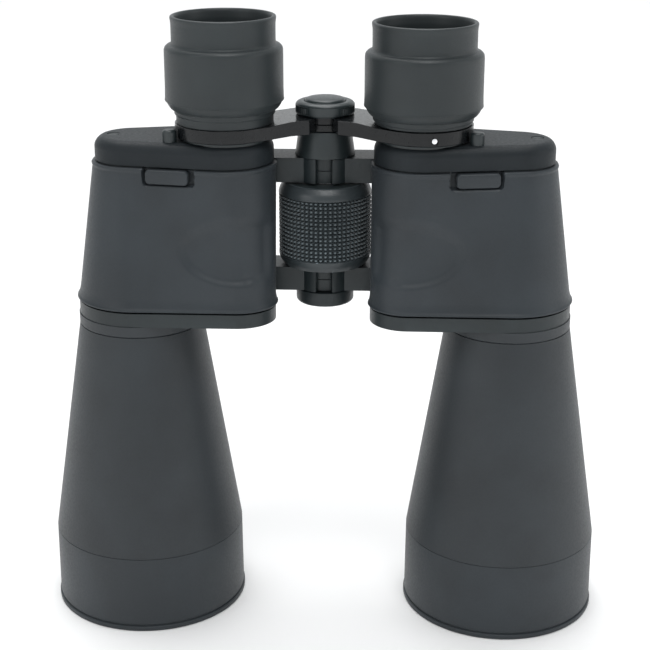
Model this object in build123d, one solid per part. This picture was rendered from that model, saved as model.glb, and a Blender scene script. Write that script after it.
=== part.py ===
from build123d import *
import math
import os

# Porro-prism binoculars standing on their objective mouths.
# Millimetres, +Z up towards the eyepieces, +X to the user's right, +Y to the hinge side (back).
# The origin is on the table, midway between the two objective axes.

# ---- Optical layout ----
OBJECTIVE_X = 65.2            # objective axis, either side of the middle
EYEPIECE_X = 33.8             # eyepiece axis, either side of the middle
HINGE_Y = 10.0                # the hinge axis is upright, at X = 0
PRISM_SHIFT = (OBJECTIVE_X - EYEPIECE_X) / math.sqrt(2)   # sideways shift of each prism
PRISM_HALF_WIDTH = 8.6

# ---- Running clearances ----
RUN = 0.05                    # radial clearance of a running fit
GAP = 0.2                     # end clearance between pieces that turn on each other

# ---- Objective tube ----
TUBE_R = 35.0
TUBE_BAND_Z = 28.4            # top of the smooth front band
TUBE_TOP_R = 20.6
TUBE_TOP_Z = 111.6
TUBE_WALL = 2.0
SLEEVE_T = 0.9                # rubber sleeve on the cone
COLLAR_R = 22.0
COLLAR_Z = 107.6
CELL_Z = (12.0, 26.0)         # lens cell inside the mouth
CELL_R = 32.4                 # seat of the cell, a step inside the mouth
LENS_R = 30.0

# ---- Prism housing ----
BASE_Z = TUBE_TOP_Z           # bottom plate
HOUSING_Z = (116.5, 166.0)
FLARE_Z = 121.5               # the armour flares out below this height
FLARE = 0.6
ARMOUR_T = 1.8
WALL = 2.0
COVER_Z = 174.0
COVER_ROUND = 3.6
COVER_INSET = 0.7
COVER_WALL = 2.2
SHELF_Z = (139.8, 142.3)
# Plan of the right housing: four corner circles (x, y, radius), counter-clockwise,
# joined by their outer tangents, at the bottom seam and at the top seam.
PLAN_LOW = [(29.5, -8.5, 13.1), (65.2, 0.0, 21.7), (65.2, 2.0, 21.5), (40.0, 6.0, 20.0)]
PLAN_HIGH = [(33.8, 0.0, 17.3), (66.2, 1.8, 13.9), (66.4, 3.0, 13.7), (39.0, 5.0, 18.0)]

STOP_AT = (51.8, -8.7)        # post beside the eyepiece ring
STOP_R = 2.4
STOP_HEIGHT = 4.2
SCREW_PLACES = [(73.0, 3.0), (47.0, 17.2)]    # flush screws of the cover
SCREW_HEAD = 2.2
SCREW_SHANK = 1.2

# ---- Strap lug ----
LUG_X = 52.5
LUG_Z = (160.9, 165.4)
LUG_WIDTH = 14.4
NOTCH_WIDTH = 18.2
NOTCH_Z = 159.8
NOTCH_DEPTH = 2.9

# ---- Central hinge ----
KNUCKLE_R = 8.0
CHEEK_R = 10.0
CHEEK_SLOT = 3.1              # half width of the front slot between the cheeks
BACK_SLOT = 2.3
WEB_HALF = 7.0
LOWER_LUG_Z = (117.9, 126.5)
UPPER_LUG_Z = (157.3, 166.0)
AXLE_R = 6.0
AXLE_BORE = 4.5
AXLE_Z = (116.0, 175.0)
BOSS_R = 10.3
BOSS_Z = (112.4, LOWER_LUG_Z[0] - GAP)
TRIPOD_R = 3.175              # 1/4 inch tripod thread, major radius
TRIPOD_DEPTH = 5.0
HINGE_COLLAR = [(10.5, UPPER_LUG_Z[1] + GAP), (9.2, 175.2)]

# ---- Focusing ----
WHEEL_R = 16.4
WHEEL_Z = (126.8, 156.6)
WHEEL_BAND = 4.0
WHEEL_CORE_R = 13.4
WHEEL_GROOVES = 36
GROOVE_R = 0.7
FOCUS_TRAVEL = 8.0            # one turn of the wheel lifts the eyepieces this much
PIN_Z = 136.0                 # height of the drive pin when fully down
PIN_R = 1.2
PIN_REACH = 7.9
SHAFT_R = AXLE_BORE - RUN
SHAFT_Z = (127.5, 184.2)

# ---- Bridge arms ----
ARM_Z = (175.4, 180.3)        # at the hub
RING_Z = (174.9, 179.4)       # at the eyepiece; the web slopes down to it
SLOPE_X = (11.0, 18.0)
ARM_RING_R = 17.2
ARM_HUB_R = 10.5
ARM_SLOT = 4.0
ARM_KNUCKLE_R = 8.3
ARM_FILLET = 70.0
CAP_R = 10.3
CAP_TOP = 185.0
DISC_R = 7.1

# ---- Eyepieces ----
BARREL_R = 13.25
GUIDE_R = BARREL_R + RUN
GUIDE_OUTER = GUIDE_R + 1.6
GUIDE_Z = (162.0, 174.6)
BARREL_FOOT = 158.0
SLEEVE_BORE = 12.05
NECK_R = 16.6
RING_FOOT = 182.2             # lower edge of the chamfered grip ring
GRIP_FOOT = 187.0
GRIP_R = 20.1
STEP_Z = 205.6
RIM_R = 17.9
RIM_Z = 215.3
BARREL_TOP = 202.7
GRIP_TOP = 203.0
RIGHT_DROP = 1.7              # the right eyepiece is screwed fully in
DIOPTER_TRAVEL = 4.0          # two thirds of a turn lifts the right lenses this much
SCREW_Z = 176.8               # stop screw in the right arm ring
SCREW_ANGLE = 11.5            # its bearing from straight ahead
SCREW_R = 0.9
SCREW_REACH = (11.2, 17.6)


def disc(radius, z0, z1, x=0.0, y=0.0):
    """Upright cylinder between two heights."""
    base = Cylinder(radius, z1 - z0, align=(Align.CENTER, Align.CENTER, Align.MIN))
    return Pos(x, y, z0) * base


def tube(outer, inner, z0, z1, x=0.0, y=0.0):
    """Upright tube between two heights."""
    return disc(outer, z0, z1, x, y) - disc(inner, z0 - 1, z1 + 1, x, y)


def box(x, y, z):
    """Box from three (low, high) pairs."""
    size = Box(x[1] - x[0], y[1] - y[0], z[1] - z[0])
    return Pos((x[0] + x[1]) / 2, (y[0] + y[1]) / 2, (z[0] + z[1]) / 2) * size


def turned(profile, x=0.0, y=0.0):
    """Solid of revolution about an upright axis, from (radius, height) points."""
    wire = Polyline(*[(r, 0, z) for r, z in profile], close=True)
    return Pos(x, y, 0) * revolve(make_face(wire), Axis.Z)


def lens(radius, z0, z1, low_sag, high_sag, x, y=0.0):
    """Lens with edge heights z0 and z1; a positive sag bulges outwards."""
    edges = [
        Line((0, 0, z0 - low_sag), (0, 0, z1 + high_sag)),
        arc_to_edge(radius, z1, high_sag),
        Line((radius, 0, z1), (radius, 0, z0)),
        arc_to_edge(radius, z0, -low_sag),
    ]
    return Pos(x, y, 0) * revolve(make_face(edges), Axis.Z)


def arc_to_edge(radius, z, rise):
    """Arc from the axis, raised by rise, to the edge at height z."""
    if abs(rise) < 1e-6:
        return Line((0, 0, z), (radius, 0, z))
    sphere = (radius**2 + rise**2) / (2 * abs(rise))
    half = radius / 2
    middle = math.sqrt(sphere**2 - half**2) - math.sqrt(sphere**2 - radius**2)
    return ThreePointArc((0, 0, z + rise), (half, 0, z + math.copysign(middle, rise)), (radius, 0, z))


def outline(circles, z, inset=0.0):
    """Face inside the outer tangents of counter-clockwise circles, at height z."""
    shrunk = [(x, y, r - inset) for x, y, r in circles]
    starts, ends, normals = [], [], []
    for (x1, y1, r1), (x2, y2, r2) in zip(shrunk, shrunk[1:] + shrunk[:1]):
        length = math.hypot(x2 - x1, y2 - y1)
        ux, uy = (x2 - x1) / length, (y2 - y1) / length
        cosine = (r1 - r2) / length
        sine = math.sqrt(1 - cosine**2)
        nx, ny = ux * cosine + uy * sine, uy * cosine - ux * sine
        starts.append((x1 + r1 * nx, y1 + r1 * ny, z))
        ends.append((x2 + r2 * nx, y2 + r2 * ny, z))
        normals.append((nx, ny))
    edges = []
    for i, (x, y, r) in enumerate(shrunk):
        (ax, ay), (bx, by) = normals[i - 1], normals[i]
        span = math.hypot(ax + bx, ay + by)
        middle = (x + r * (ax + bx) / span, y + r * (ay + by) / span, z)
        edges.append(ThreePointArc(ends[i - 1], middle, starts[i]))
        edges.append(Line(starts[i], ends[i]))
    return make_face(edges)


def plan(z):
    """Corner circles of the armour at height z."""
    t = (z - HOUSING_Z[0]) / (HOUSING_Z[1] - HOUSING_Z[0])
    return [tuple(a + (b - a) * t for a, b in zip(low, high)) for low, high in zip(PLAN_LOW, PLAN_HIGH)]


def tapered(z0, z1, inset, low_inset=None):
    """Solid following the housing's taper between two heights."""
    low = inset if low_inset is None else low_inset
    return loft([outline(plan(z0), z0, low), outline(plan(z1), z1, inset)], ruled=True)


def upright(z0, z1, z_plan, inset):
    """Straight-walled solid with the housing's plan at height z_plan."""
    return extrude(outline(plan(z_plan), z0, inset), z1 - z0)


def front_frame():
    """Frame on the front face at the strap lug: X along the face, -Y out of it."""
    z = (LUG_Z[0] + LUG_Z[1]) / 2
    (x1, y1, r1), (x2, y2, r2) = plan(z)[:2]
    slope = math.atan2((y2 - r2) - (y1 - r1), x2 - x1)
    y = (y1 - r1) + (LUG_X - x1) * math.tan(slope)
    return Pos(LUG_X, y, 0) * Rot(0, 0, math.degrees(slope))


def strap_notch():
    """Recess behind the strap lug, open at the top seam."""
    half = NOTCH_WIDTH / 2
    return front_frame() * box((-half, half), (-20, NOTCH_DEPTH), (NOTCH_Z, HOUSING_Z[1] + 1))


# ---- Hinge knuckles shared by the housings and the bridge arms ----

def wedge_slot(reach, half_width, front, z0, z1):
    """Slot from the hinge axis outwards, to the front (-Y) or the back (+Y)."""
    side = -1 if front else 1
    points = [(0, 0), (half_width, side * reach), (half_width * 1.5, side * reach * 1.5),
              (-half_width * 1.5, side * reach * 1.5), (-half_width, side * reach)]
    wire = Polyline(*[(x, y + HINGE_Y, z0) for x, y in points], close=True)
    return extrude(make_face(wire), z1 - z0)


def cheeks(z0, z1, outer, inner, front_slot, back_slot):
    """Half tube on the right of the hinge, standing clear of the other half's knuckle."""
    shell = tube(outer, inner, z0, z1, 0, HINGE_Y)
    shell -= box((-40, 0), (-40, 60), (z0 - 1, z1 + 1))
    shell -= wedge_slot(outer, front_slot, True, z0 - 1, z1 + 1)
    return shell - wedge_slot(outer, back_slot, False, z0 - 1, z1 + 1)


def levels(z0, z1, upper):
    """Height range of one of two stacked knuckles."""
    middle = (z0 + z1) / 2
    return (middle + GAP / 2, z1) if upper else (z0, middle - GAP / 2)


def hinge_lug(z0, z1, upper, bore):
    """Right-hand hinge lug: web, cheeks and a half-height knuckle."""
    web = box((6, 24), (HINGE_Y - WEB_HALF, HINGE_Y + WEB_HALF), (z0, z1))
    lug = (web - disc(KNUCKLE_R + 0.3, z0 - 1, z1 + 1, 0, HINGE_Y))
    lug += cheeks(z0, z1, CHEEK_R, KNUCKLE_R + 0.3, CHEEK_SLOT, BACK_SLOT)
    k0, k1 = levels(z0, z1, upper)
    spoke = box((0, 9), (HINGE_Y - WEB_HALF + 1, HINGE_Y + WEB_HALF - 1), (k0, k1))
    lug += disc(KNUCKLE_R, k0, k1, 0, HINGE_Y) + spoke
    return lug - disc(bore, z0 - 1, z1 + 1, 0, HINGE_Y)


# ---- Right-hand pieces, mirrored for the left ----

def prism_housing(upper_knuckle, bore):
    """Tapered shell with the two hinge lugs and the strap-lug recess."""
    shell = tapered(*HOUSING_Z, ARMOUR_T)
    for z0, z1 in (LOWER_LUG_Z, UPPER_LUG_Z):
        shell += hinge_lug(z0, z1, upper_knuckle, bore)
    shell -= tapered(*HOUSING_Z, ARMOUR_T + WALL)
    shell -= disc(GUIDE_OUTER, GUIDE_Z[0], HOUSING_Z[1] + 1, EYEPIECE_X)
    shell -= disc(BARREL_R + 0.4, BARREL_FOOT - 1, HOUSING_Z[1], EYEPIECE_X)
    return shell - strap_notch()


def rubber_armour():
    """Moulded skin around the housing, open for the lugs and the strap recess."""
    skin = tapered(FLARE_Z, HOUSING_Z[1], 0.0)
    skin += tapered(HOUSING_Z[0], FLARE_Z, 0.0, -FLARE)
    skin -= tapered(*HOUSING_Z, ARMOUR_T)
    for z0, z1 in (LOWER_LUG_Z, UPPER_LUG_Z):
        skin -= box((0, 26), (HINGE_Y - WEB_HALF, HINGE_Y + WEB_HALF), (z0, z1 + 1))
    return skin - strap_notch()


def strap_lug():
    """Belt-loop bar standing in the recess of the armour."""
    low, high = LUG_Z
    half = LUG_WIDTH / 2
    bar = box((-half, half), (-0.5, 1.0), (low, high))
    bar = chamfer(bar.edges().filter_by(Axis.X).group_by(Axis.Y)[0], 0.45)
    for z0, z1 in ((low, low + 1.0), (high - 1.0, high)):
        bar += box((-half, half), (0.9, NOTCH_DEPTH), (z0, z1))
    return front_frame() * bar


def bottom_plate():
    """Plate closing the housing below, with the seat for the objective tube."""
    plate = upright(BASE_Z, HOUSING_Z[0], HOUSING_Z[0], 0.0)
    plate -= upright(BASE_Z + 2.2, HOUSING_Z[0] + 1, HOUSING_Z[0], ARMOUR_T + WALL)
    return plate - disc(TUBE_TOP_R - TUBE_WALL, BASE_Z - 1, BASE_Z + 3, OBJECTIVE_X)


def top_cover():
    """Rounded cap over the upper prism, with the bore for the eyepiece guide."""
    cap = upright(HOUSING_Z[1], COVER_Z, HOUSING_Z[1], COVER_INSET)
    cap = fillet(cap.edges().group_by(Axis.Z)[-1], COVER_ROUND)
    cap -= upright(HOUSING_Z[1] - 1, COVER_Z - COVER_WALL, HOUSING_Z[1], COVER_WALL + COVER_INSET)
    for x, y in [STOP_AT, *SCREW_PLACES]:
        cap -= disc(SCREW_SHANK, HOUSING_Z[1], COVER_Z + 1, x, y)
    for x, y in SCREW_PLACES:
        cap -= disc(SCREW_HEAD, COVER_Z - 1.0, COVER_Z + 1, x, y)
    return cap - disc(GUIDE_OUTER, HOUSING_Z[1], COVER_Z + 1, EYEPIECE_X)


def eyepiece_guide():
    """Flanged bush in which the eyepiece tube slides."""
    bush = tube(GUIDE_OUTER, GUIDE_R, *GUIDE_Z, EYEPIECE_X)
    return bush + tube(GUIDE_OUTER + 1.0, GUIDE_R, COVER_Z, GUIDE_Z[1], EYEPIECE_X)


def cover_screws():
    """Two flush slotted screws of the top cover, and the post beside the eyepiece ring."""
    screws = Part()
    foot = COVER_Z - COVER_WALL - 1.5
    for x, y in SCREW_PLACES:
        head = disc(SCREW_HEAD, COVER_Z - 1.0, COVER_Z - 0.2, x, y)
        head += disc(SCREW_SHANK, foot, COVER_Z - 1.0, x, y)
        screws += head - box((x - 3, x + 3), (y - 0.4, y + 0.4), (COVER_Z - 0.7, COVER_Z))
    x, y = STOP_AT
    post = disc(STOP_R, COVER_Z, COVER_Z + STOP_HEIGHT, x, y)
    post = fillet(post.edges().group_by(Axis.Z)[-1], 1.0)
    return screws + post + disc(SCREW_SHANK, foot, COVER_Z, x, y)


def prism_shelf():
    """Plate between the two prisms, pierced for the light path."""
    shelf = tapered(*HOUSING_Z, ARMOUR_T + WALL + 0.02) & box((0, 100), (-50, 50), SHELF_Z)
    for x, y, r in ((OBJECTIVE_X, 0, 12.0), (prism_turn_x(), prism_turn_y(), 6.5), (EYEPIECE_X, 0, 8.0)):
        shelf -= disc(r, SHELF_Z[0] - 1, SHELF_Z[1] + 1, x, y)
    return shelf


def prism_turn_x():
    """X of the light path between the two prisms."""
    return (OBJECTIVE_X + EYEPIECE_X) / 2


def prism_turn_y():
    """Y of the light path between the two prisms."""
    return (OBJECTIVE_X - EYEPIECE_X) / 2


def roof(half_length, half_width, grow=0.0):
    """Right-angled roof prism, ridge along Y, base on Z = 0, grown by a skin."""
    reach = half_length + grow * math.sqrt(2)
    wire = Polyline((-reach, -half_width, 0), (reach, -half_width, 0), (0, -half_width, reach), close=True)
    return extrude(make_face(wire), 2 * half_width, dir=(0, 1, 0))


def place_prism(piece, over_objective):
    """Set a roof piece over the objective (upper) or under the eyepiece (lower)."""
    end_x = OBJECTIVE_X if over_objective else EYEPIECE_X
    x, y = (prism_turn_x() + end_x) / 2, prism_turn_y() / 2
    if over_objective:
        return Pos(x, y, SHELF_Z[1]) * Rot(0, 0, -45) * piece
    return Pos(x, y, SHELF_Z[0]) * Rot(0, 0, 45) * Rot(180, 0, 0) * piece


def prism(over_objective):
    """Porro prism, its ends ground round to fit the housing."""
    body = place_prism(roof(PRISM_SHIFT, PRISM_HALF_WIDTH), over_objective)
    low, high = (SHELF_Z[1], HOUSING_Z[1]) if over_objective else (HOUSING_Z[0], SHELF_Z[0])
    return body & tapered(low, high, ARMOUR_T + WALL + 0.3)


def prism_clips():
    """Spring straps that hold the two prisms on the shelf."""
    strap = roof(PRISM_SHIFT, 2.5, 0.5) - roof(PRISM_SHIFT, 3.0)
    clips = Part()
    for over_objective, low, high in ((True, SHELF_Z[1], HOUSING_Z[1]), (False, HOUSING_Z[0], SHELF_Z[0])):
        room = tapered(low, high, ARMOUR_T + WALL + 0.3)
        clips += place_prism(strap, over_objective) & room
    return clips


def cone_r(z):
    """Outer radius of the bare cone at height z."""
    foot = TUBE_R - 0.6 - SLEEVE_T
    top = TUBE_TOP_R - SLEEVE_T
    return foot + (top - foot) * (z - TUBE_BAND_Z) / (COLLAR_Z - TUBE_BAND_Z)


def objective_tube():
    """Front band and cone in one, with the seat for the lens cell."""
    inner = TUBE_R - TUBE_WALL
    throat = TUBE_TOP_R - TUBE_WALL
    profile = [
        (inner, 0), (TUBE_R, 0), (TUBE_R, 1.6), (TUBE_R - 0.35, 2.2), (TUBE_R - 0.6, TUBE_BAND_Z),
        (cone_r(TUBE_BAND_Z), TUBE_BAND_Z), (cone_r(COLLAR_Z), COLLAR_Z), (TUBE_TOP_R - 0.6, COLLAR_Z),
        (TUBE_TOP_R - 0.6, TUBE_TOP_Z), (throat - 0.6, TUBE_TOP_Z), (inner - 1.6, CELL_Z[1] + 2),
        (inner - 1.6, CELL_Z[1]), (CELL_R, CELL_Z[1]), (CELL_R, CELL_Z[0]), (inner, CELL_Z[0]),
    ]
    return turned(profile, OBJECTIVE_X)


def objective_sleeve():
    """Rubber skin on the cone."""
    profile = [
        (cone_r(TUBE_BAND_Z), TUBE_BAND_Z), (cone_r(TUBE_BAND_Z) + SLEEVE_T, TUBE_BAND_Z),
        (cone_r(COLLAR_Z) + SLEEVE_T, COLLAR_Z), (cone_r(COLLAR_Z), COLLAR_Z),
    ]
    return turned(profile, OBJECTIVE_X)


def tube_collar():
    """Lock ring between the objective tube and the bottom plate."""
    ring = tube(COLLAR_R, TUBE_TOP_R - 0.6, COLLAR_Z, BASE_Z, OBJECTIVE_X)
    return chamfer(ring.edges().group_by(Axis.Z)[0].sort_by(SortBy.LENGTH)[-1], 0.4)


def lens_cell():
    """Threaded cell that carries the two objective elements."""
    profile = [
        (LENS_R, CELL_Z[0]), (CELL_R, CELL_Z[0]), (CELL_R, CELL_Z[1]), (LENS_R - 1.2, CELL_Z[1]),
        (LENS_R - 1.2, CELL_Z[1] - 1.5), (LENS_R, CELL_Z[1] - 1.5),
    ]
    return turned(profile, OBJECTIVE_X)


def retaining_ring():
    """Notched ring that clamps the elements in the cell."""
    ring = tube(LENS_R, LENS_R - 1.8, CELL_Z[0], CELL_Z[0] + 1.5, OBJECTIVE_X)
    slot = box((OBJECTIVE_X - 1, OBJECTIVE_X + 1), (-40, 40), (CELL_Z[0] - 1, CELL_Z[0] + 0.7))
    return ring - slot


def crown_lens():
    """Front element, convex both sides."""
    return lens(LENS_R, CELL_Z[0] + 3.6, CELL_Z[0] + 5.0, 2.0, 2.6, OBJECTIVE_X)


def flint_lens():
    """Second element, cemented behind the crown."""
    foot = CELL_Z[0] + 5.05
    return lens(LENS_R, foot, CELL_Z[1] - 1.5, -2.6, -0.6, OBJECTIVE_X)


# ---- Eyepieces ----

def eyepiece_barrel(foot_r, drop, x):
    """Lens barrel: sliding tube below, neck and lens seat above."""
    shoulder = RING_Z[1] + (GAP if drop else 0)
    top = BARREL_TOP - drop
    seat = top - 6.4
    profile = [
        (foot_r, BARREL_FOOT), (foot_r, shoulder), (NECK_R, shoulder), (NECK_R, top), (12.2, top),
        (12.2, seat), (foot_r - 2.2, seat), (foot_r - 2.2, BARREL_FOOT + 7), (foot_r - 1.1, BARREL_FOOT + 7),
        (foot_r - 1.1, BARREL_FOOT),
    ]
    return turned(profile, x)


def right_barrel():
    """Right lens barrel, keyed by a groove for the stop screw."""
    barrel = eyepiece_barrel(SLEEVE_BORE - RUN, RIGHT_DROP, EYEPIECE_X)
    groove = box((-1.2, 1.2), (-SLEEVE_BORE - 1, -SCREW_REACH[0] + 0.25),
                 (SCREW_Z - DIOPTER_TRAVEL - 1.3, SCREW_Z + 1.3))
    return barrel - Pos(EYEPIECE_X, 0, 0) * Rot(0, 0, SCREW_ANGLE) * groove


def eye_lens(drop, x):
    """Lens nearest the eye."""
    seat = BARREL_TOP - drop - 6.4
    return lens(12.2, seat, seat + 3.0, 0.0, 2.0, x)


def field_lens(foot_r, x):
    """Lens at the foot of the barrel."""
    return lens(foot_r - 1.1, BARREL_FOOT + 3.6, BARREL_FOOT + 7, 1.5, 0.0, x)


def grip_ring(drop, clearance, x):
    """Chamfered ring that carries the eyecup."""
    inner = NECK_R + clearance
    profile = [
        (inner, RING_FOOT), (NECK_R + 0.3, RING_FOOT), (18.2, RING_FOOT + 0.9), (19.0, RING_FOOT + 1.9),
        (19.85, GRIP_FOOT), (18.6, GRIP_FOOT), (18.6, GRIP_TOP), (inner, GRIP_TOP),
    ]
    return turned([(r, z - drop) for r, z in profile], x)


def eyecup(drop, x):
    """Fold-down rubber eyecup, moulded in one with the grip."""
    core = 18.6
    lens_r = 12.2
    profile = [
        (core, GRIP_FOOT), (GRIP_R + 0.2, GRIP_FOOT), (GRIP_R, GRIP_FOOT + 0.7), (GRIP_R, STEP_Z - 1.6),
        (GRIP_R - 0.3, STEP_Z - 0.7), (GRIP_R - 1.1, STEP_Z), (RIM_R - 0.1, STEP_Z + 0.5),
        (RIM_R - 0.25, STEP_Z + 1.6), (RIM_R - 0.3, RIM_Z - 2.6), (RIM_R, RIM_Z - 0.9), (RIM_R - 0.3, RIM_Z),
        (RIM_R - 1.2, RIM_Z), (RIM_R - 1.6, RIM_Z - 0.9), (RIM_R - 1.8, RIM_Z - 3), (RIM_R - 1.9, STEP_Z + 1.4),
        (15.2, STEP_Z - 0.4), (lens_r + 0.2, STEP_Z - 1.0), (lens_r, STEP_Z - 2.0), (lens_r + 0.4, GRIP_TOP),
        (core, GRIP_TOP),
    ]
    return turned([(r, z - drop) for r, z in profile], x)


def screw_hole(radius):
    """Radial cylinder along the stop screw."""
    inner, outer = SCREW_REACH
    cylinder = Pos(0, -(inner + outer) / 2, SCREW_Z) * Rot(90, 0, 0) * Cylinder(radius, outer - inner)
    return Pos(EYEPIECE_X, 0, 0) * Rot(0, 0, SCREW_ANGLE) * cylinder


def ocular_sleeve():
    """Sleeve pressed in the right arm, in which the lens barrel slides."""
    return tube(BARREL_R, SLEEVE_BORE, BARREL_FOOT, RING_Z[1], EYEPIECE_X) - screw_hole(SCREW_R)


# ---- Bridge arms ----

def arm_web(z0, z1):
    """Plate between hub and eyepiece ring: concave arc in front, tangent line behind."""
    hub, ring = ARM_HUB_R, ARM_RING_R
    span = math.hypot(EYEPIECE_X, HINGE_Y)
    to_hub, to_ring = hub + ARM_FILLET, ring + ARM_FILLET
    along = (to_hub**2 - to_ring**2 + span**2) / (2 * span)
    across = math.sqrt(to_hub**2 - along**2)
    ux, uy = EYEPIECE_X / span, -HINGE_Y / span
    cx, cy = along * ux + across * uy, HINGE_Y + along * uy - across * ux
    start = (hub * cx / to_hub, HINGE_Y + hub * (cy - HINGE_Y) / to_hub, z0)
    end = (EYEPIECE_X + ring * (cx - EYEPIECE_X) / to_ring, ring * cy / to_ring, z0)
    mid_x, mid_y = (start[0] + end[0]) / 2 - cx, (start[1] + end[1]) / 2 - cy
    reach = ARM_FILLET / math.hypot(mid_x, mid_y)
    middle = (cx + mid_x * reach, cy + mid_y * reach, z0)
    cosine = (hub - ring) / span
    sine = math.sqrt(1 - cosine**2)
    nx, ny = ux * cosine - uy * sine, uy * cosine + ux * sine
    back_hub = (hub * nx, HINGE_Y + hub * ny, z0)
    back_ring = (EYEPIECE_X + ring * nx, ring * ny, z0)
    edges = [
        ThreePointArc(start, middle, end), Line(end, (EYEPIECE_X, 0, z0)), Line((EYEPIECE_X, 0, z0), back_ring),
        Line(back_ring, back_hub), Line(back_hub, (0, HINGE_Y, z0)), Line((0, HINGE_Y, z0), start),
    ]
    return extrude(make_face(edges), z1 - z0)


def arm_side(reach):
    """Side view of an arm: thick at the hub, sloping down to the eyepiece ring."""
    (hub_low, hub_high), (ring_low, ring_high), (start, end) = ARM_Z, RING_Z, SLOPE_X
    points = [(-reach, hub_low), (start, hub_low), (end, ring_low), (reach, ring_low),
              (reach, ring_high), (end, ring_high), (start, hub_high), (-reach, hub_high)]
    wire = Polyline(*[(x, -reach, z) for x, z in points], close=True)
    return extrude(make_face(wire), 2 * reach, dir=(0, 1, 0))


def bridge_arm(upper, shaft_bore, ring_bore):
    """Right-hand bridge arm: eyepiece ring, web, cheeks and half-height knuckle."""
    low, high = RING_Z[0], ARM_Z[1]
    arm = arm_web(low, high) + disc(ARM_RING_R, low, high, EYEPIECE_X)
    arm -= disc(ARM_KNUCKLE_R + 0.3, low - 1, high + 1, 0, HINGE_Y)
    arm += cheeks(low, high, ARM_HUB_R, ARM_KNUCKLE_R + 0.3, ARM_SLOT, ARM_SLOT - 1)
    arm -= wedge_slot(ARM_HUB_R, ARM_SLOT, True, low - 1, high + 1)
    arm -= wedge_slot(ARM_HUB_R, ARM_SLOT - 1, False, low - 1, high + 1)
    arm = arm & arm_side(60)
    k0, k1 = levels(*ARM_Z, upper)
    spoke = box((0, 10), (HINGE_Y - 6.5, HINGE_Y + 6.5), (k0, k1))
    arm += disc(ARM_KNUCKLE_R, k0, k1, 0, HINGE_Y) + spoke
    arm -= disc(shaft_bore, low - 1, high + 1, 0, HINGE_Y)
    return arm - disc(ring_bore, low - 1, high + 1, EYEPIECE_X)


# ---- Pieces on the hinge axis ----

def hinge_tube():
    """Hollow axle with two upright slots for the drive pin."""
    axle = tube(AXLE_R, AXLE_BORE, *AXLE_Z, 0, HINGE_Y)
    slot_half = PIN_R + 0.1
    slots = box((-20, 20), (HINGE_Y - slot_half, HINGE_Y + slot_half),
                (PIN_Z - 2, PIN_Z + FOCUS_TRAVEL + 2))
    return axle - slots


def tripod_boss():
    """Round end boss of the hinge, bored for the tripod insert."""
    boss = disc(BOSS_R, *BOSS_Z, 0, HINGE_Y)
    boss = fillet(boss.edges().group_by(Axis.Z)[0], 1.4)
    boss -= disc(TRIPOD_R + 1.3, BOSS_Z[0] - 1, AXLE_Z[0], 0, HINGE_Y)
    return boss - disc(AXLE_R, AXLE_Z[0], BOSS_Z[1] + 1, 0, HINGE_Y)


def tripod_insert():
    """Brass insert with the blind tripod thread, opening downwards."""
    insert = disc(TRIPOD_R + 1.3, BOSS_Z[0], AXLE_Z[0], 0, HINGE_Y)
    insert += disc(AXLE_BORE, AXLE_Z[0], AXLE_Z[0] + 3.5, 0, HINGE_Y)
    return insert - disc(TRIPOD_R, BOSS_Z[0] - 1, BOSS_Z[0] + TRIPOD_DEPTH, 0, HINGE_Y)


def hinge_collar():
    """Tapered collar above the upper lug."""
    (r0, z0), (r1, z1) = HINGE_COLLAR
    top = AXLE_Z[1]
    profile = [(AXLE_R, z0), (r0, z0), (r1, z1), (SHAFT_R + RUN, z1), (SHAFT_R + RUN, top), (AXLE_R, top)]
    return turned(profile, 0, HINGE_Y)


def focus_wheel_core():
    """Sleeve inside the grip, with the chamber that drives the pin."""
    inner = AXLE_R + RUN
    chamber_r = PIN_REACH + 0.3
    core = tube(WHEEL_CORE_R, inner, *WHEEL_Z, 0, HINGE_Y)
    core -= disc(chamber_r, PIN_Z - 2, PIN_Z + FOCUS_TRAVEL + 2, 0, HINGE_Y)
    return core


def focus_wheel_grip():
    """Rubber grip with a bevelled smooth band above and below the grooved middle."""
    z0, z1 = WHEEL_Z
    profile = [
        (WHEEL_CORE_R, z0), (WHEEL_R - 2.0, z0), (WHEEL_R - 0.5, z0 + 2.0), (WHEEL_R, z0 + 3.4),
        (WHEEL_R, z1 - 3.4), (WHEEL_R - 0.5, z1 - 2.0), (WHEEL_R - 2.0, z1), (WHEEL_CORE_R, z1),
    ]
    grip = turned(profile, 0, HINGE_Y)
    for i in range(WHEEL_GROOVES):
        angle = 2 * math.pi * i / WHEEL_GROOVES
        x, y = WHEEL_R * math.cos(angle), WHEEL_R * math.sin(angle)
        grip -= disc(GROOVE_R, z0 + WHEEL_BAND, z1 - WHEEL_BAND, x, HINGE_Y + y)
    return grip


def focus_shaft():
    """Shaft that carries the bridge, cross-drilled for the drive pin."""
    shaft = disc(SHAFT_R, *SHAFT_Z, 0, HINGE_Y)
    return shaft - Pos(0, HINGE_Y, PIN_Z) * Rot(0, 90, 0) * Cylinder(PIN_R, 30)


def drive_pin():
    """Cross pin that the wheel lifts."""
    return Pos(0, HINGE_Y, PIN_Z) * Rot(0, 90, 0) * Cylinder(PIN_R, 2 * PIN_REACH)


def bridge_cap():
    """Round cap that clamps the arms on the shaft."""
    foot = ARM_Z[1] + 0.15
    profile = [
        (SHAFT_R, foot), (CAP_R - 0.4, foot), (CAP_R - 0.1, foot + 0.5), (CAP_R, foot + 1.2),
        (CAP_R, foot + 3.1), (CAP_R - 0.5, CAP_TOP - 0.5), (CAP_R - 1.4, CAP_TOP), (DISC_R, CAP_TOP),
        (DISC_R, CAP_TOP - 0.8), (SHAFT_R, CAP_TOP - 0.8),
    ]
    cap = turned(profile, 0, HINGE_Y)
    return cap


def cap_disc():
    """Slightly domed disc set in the cap."""
    foot = SHAFT_Z[1]
    return lens(DISC_R, foot, foot + 1.2, 0.0, 1.0, 0.0, HINGE_Y)


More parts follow.
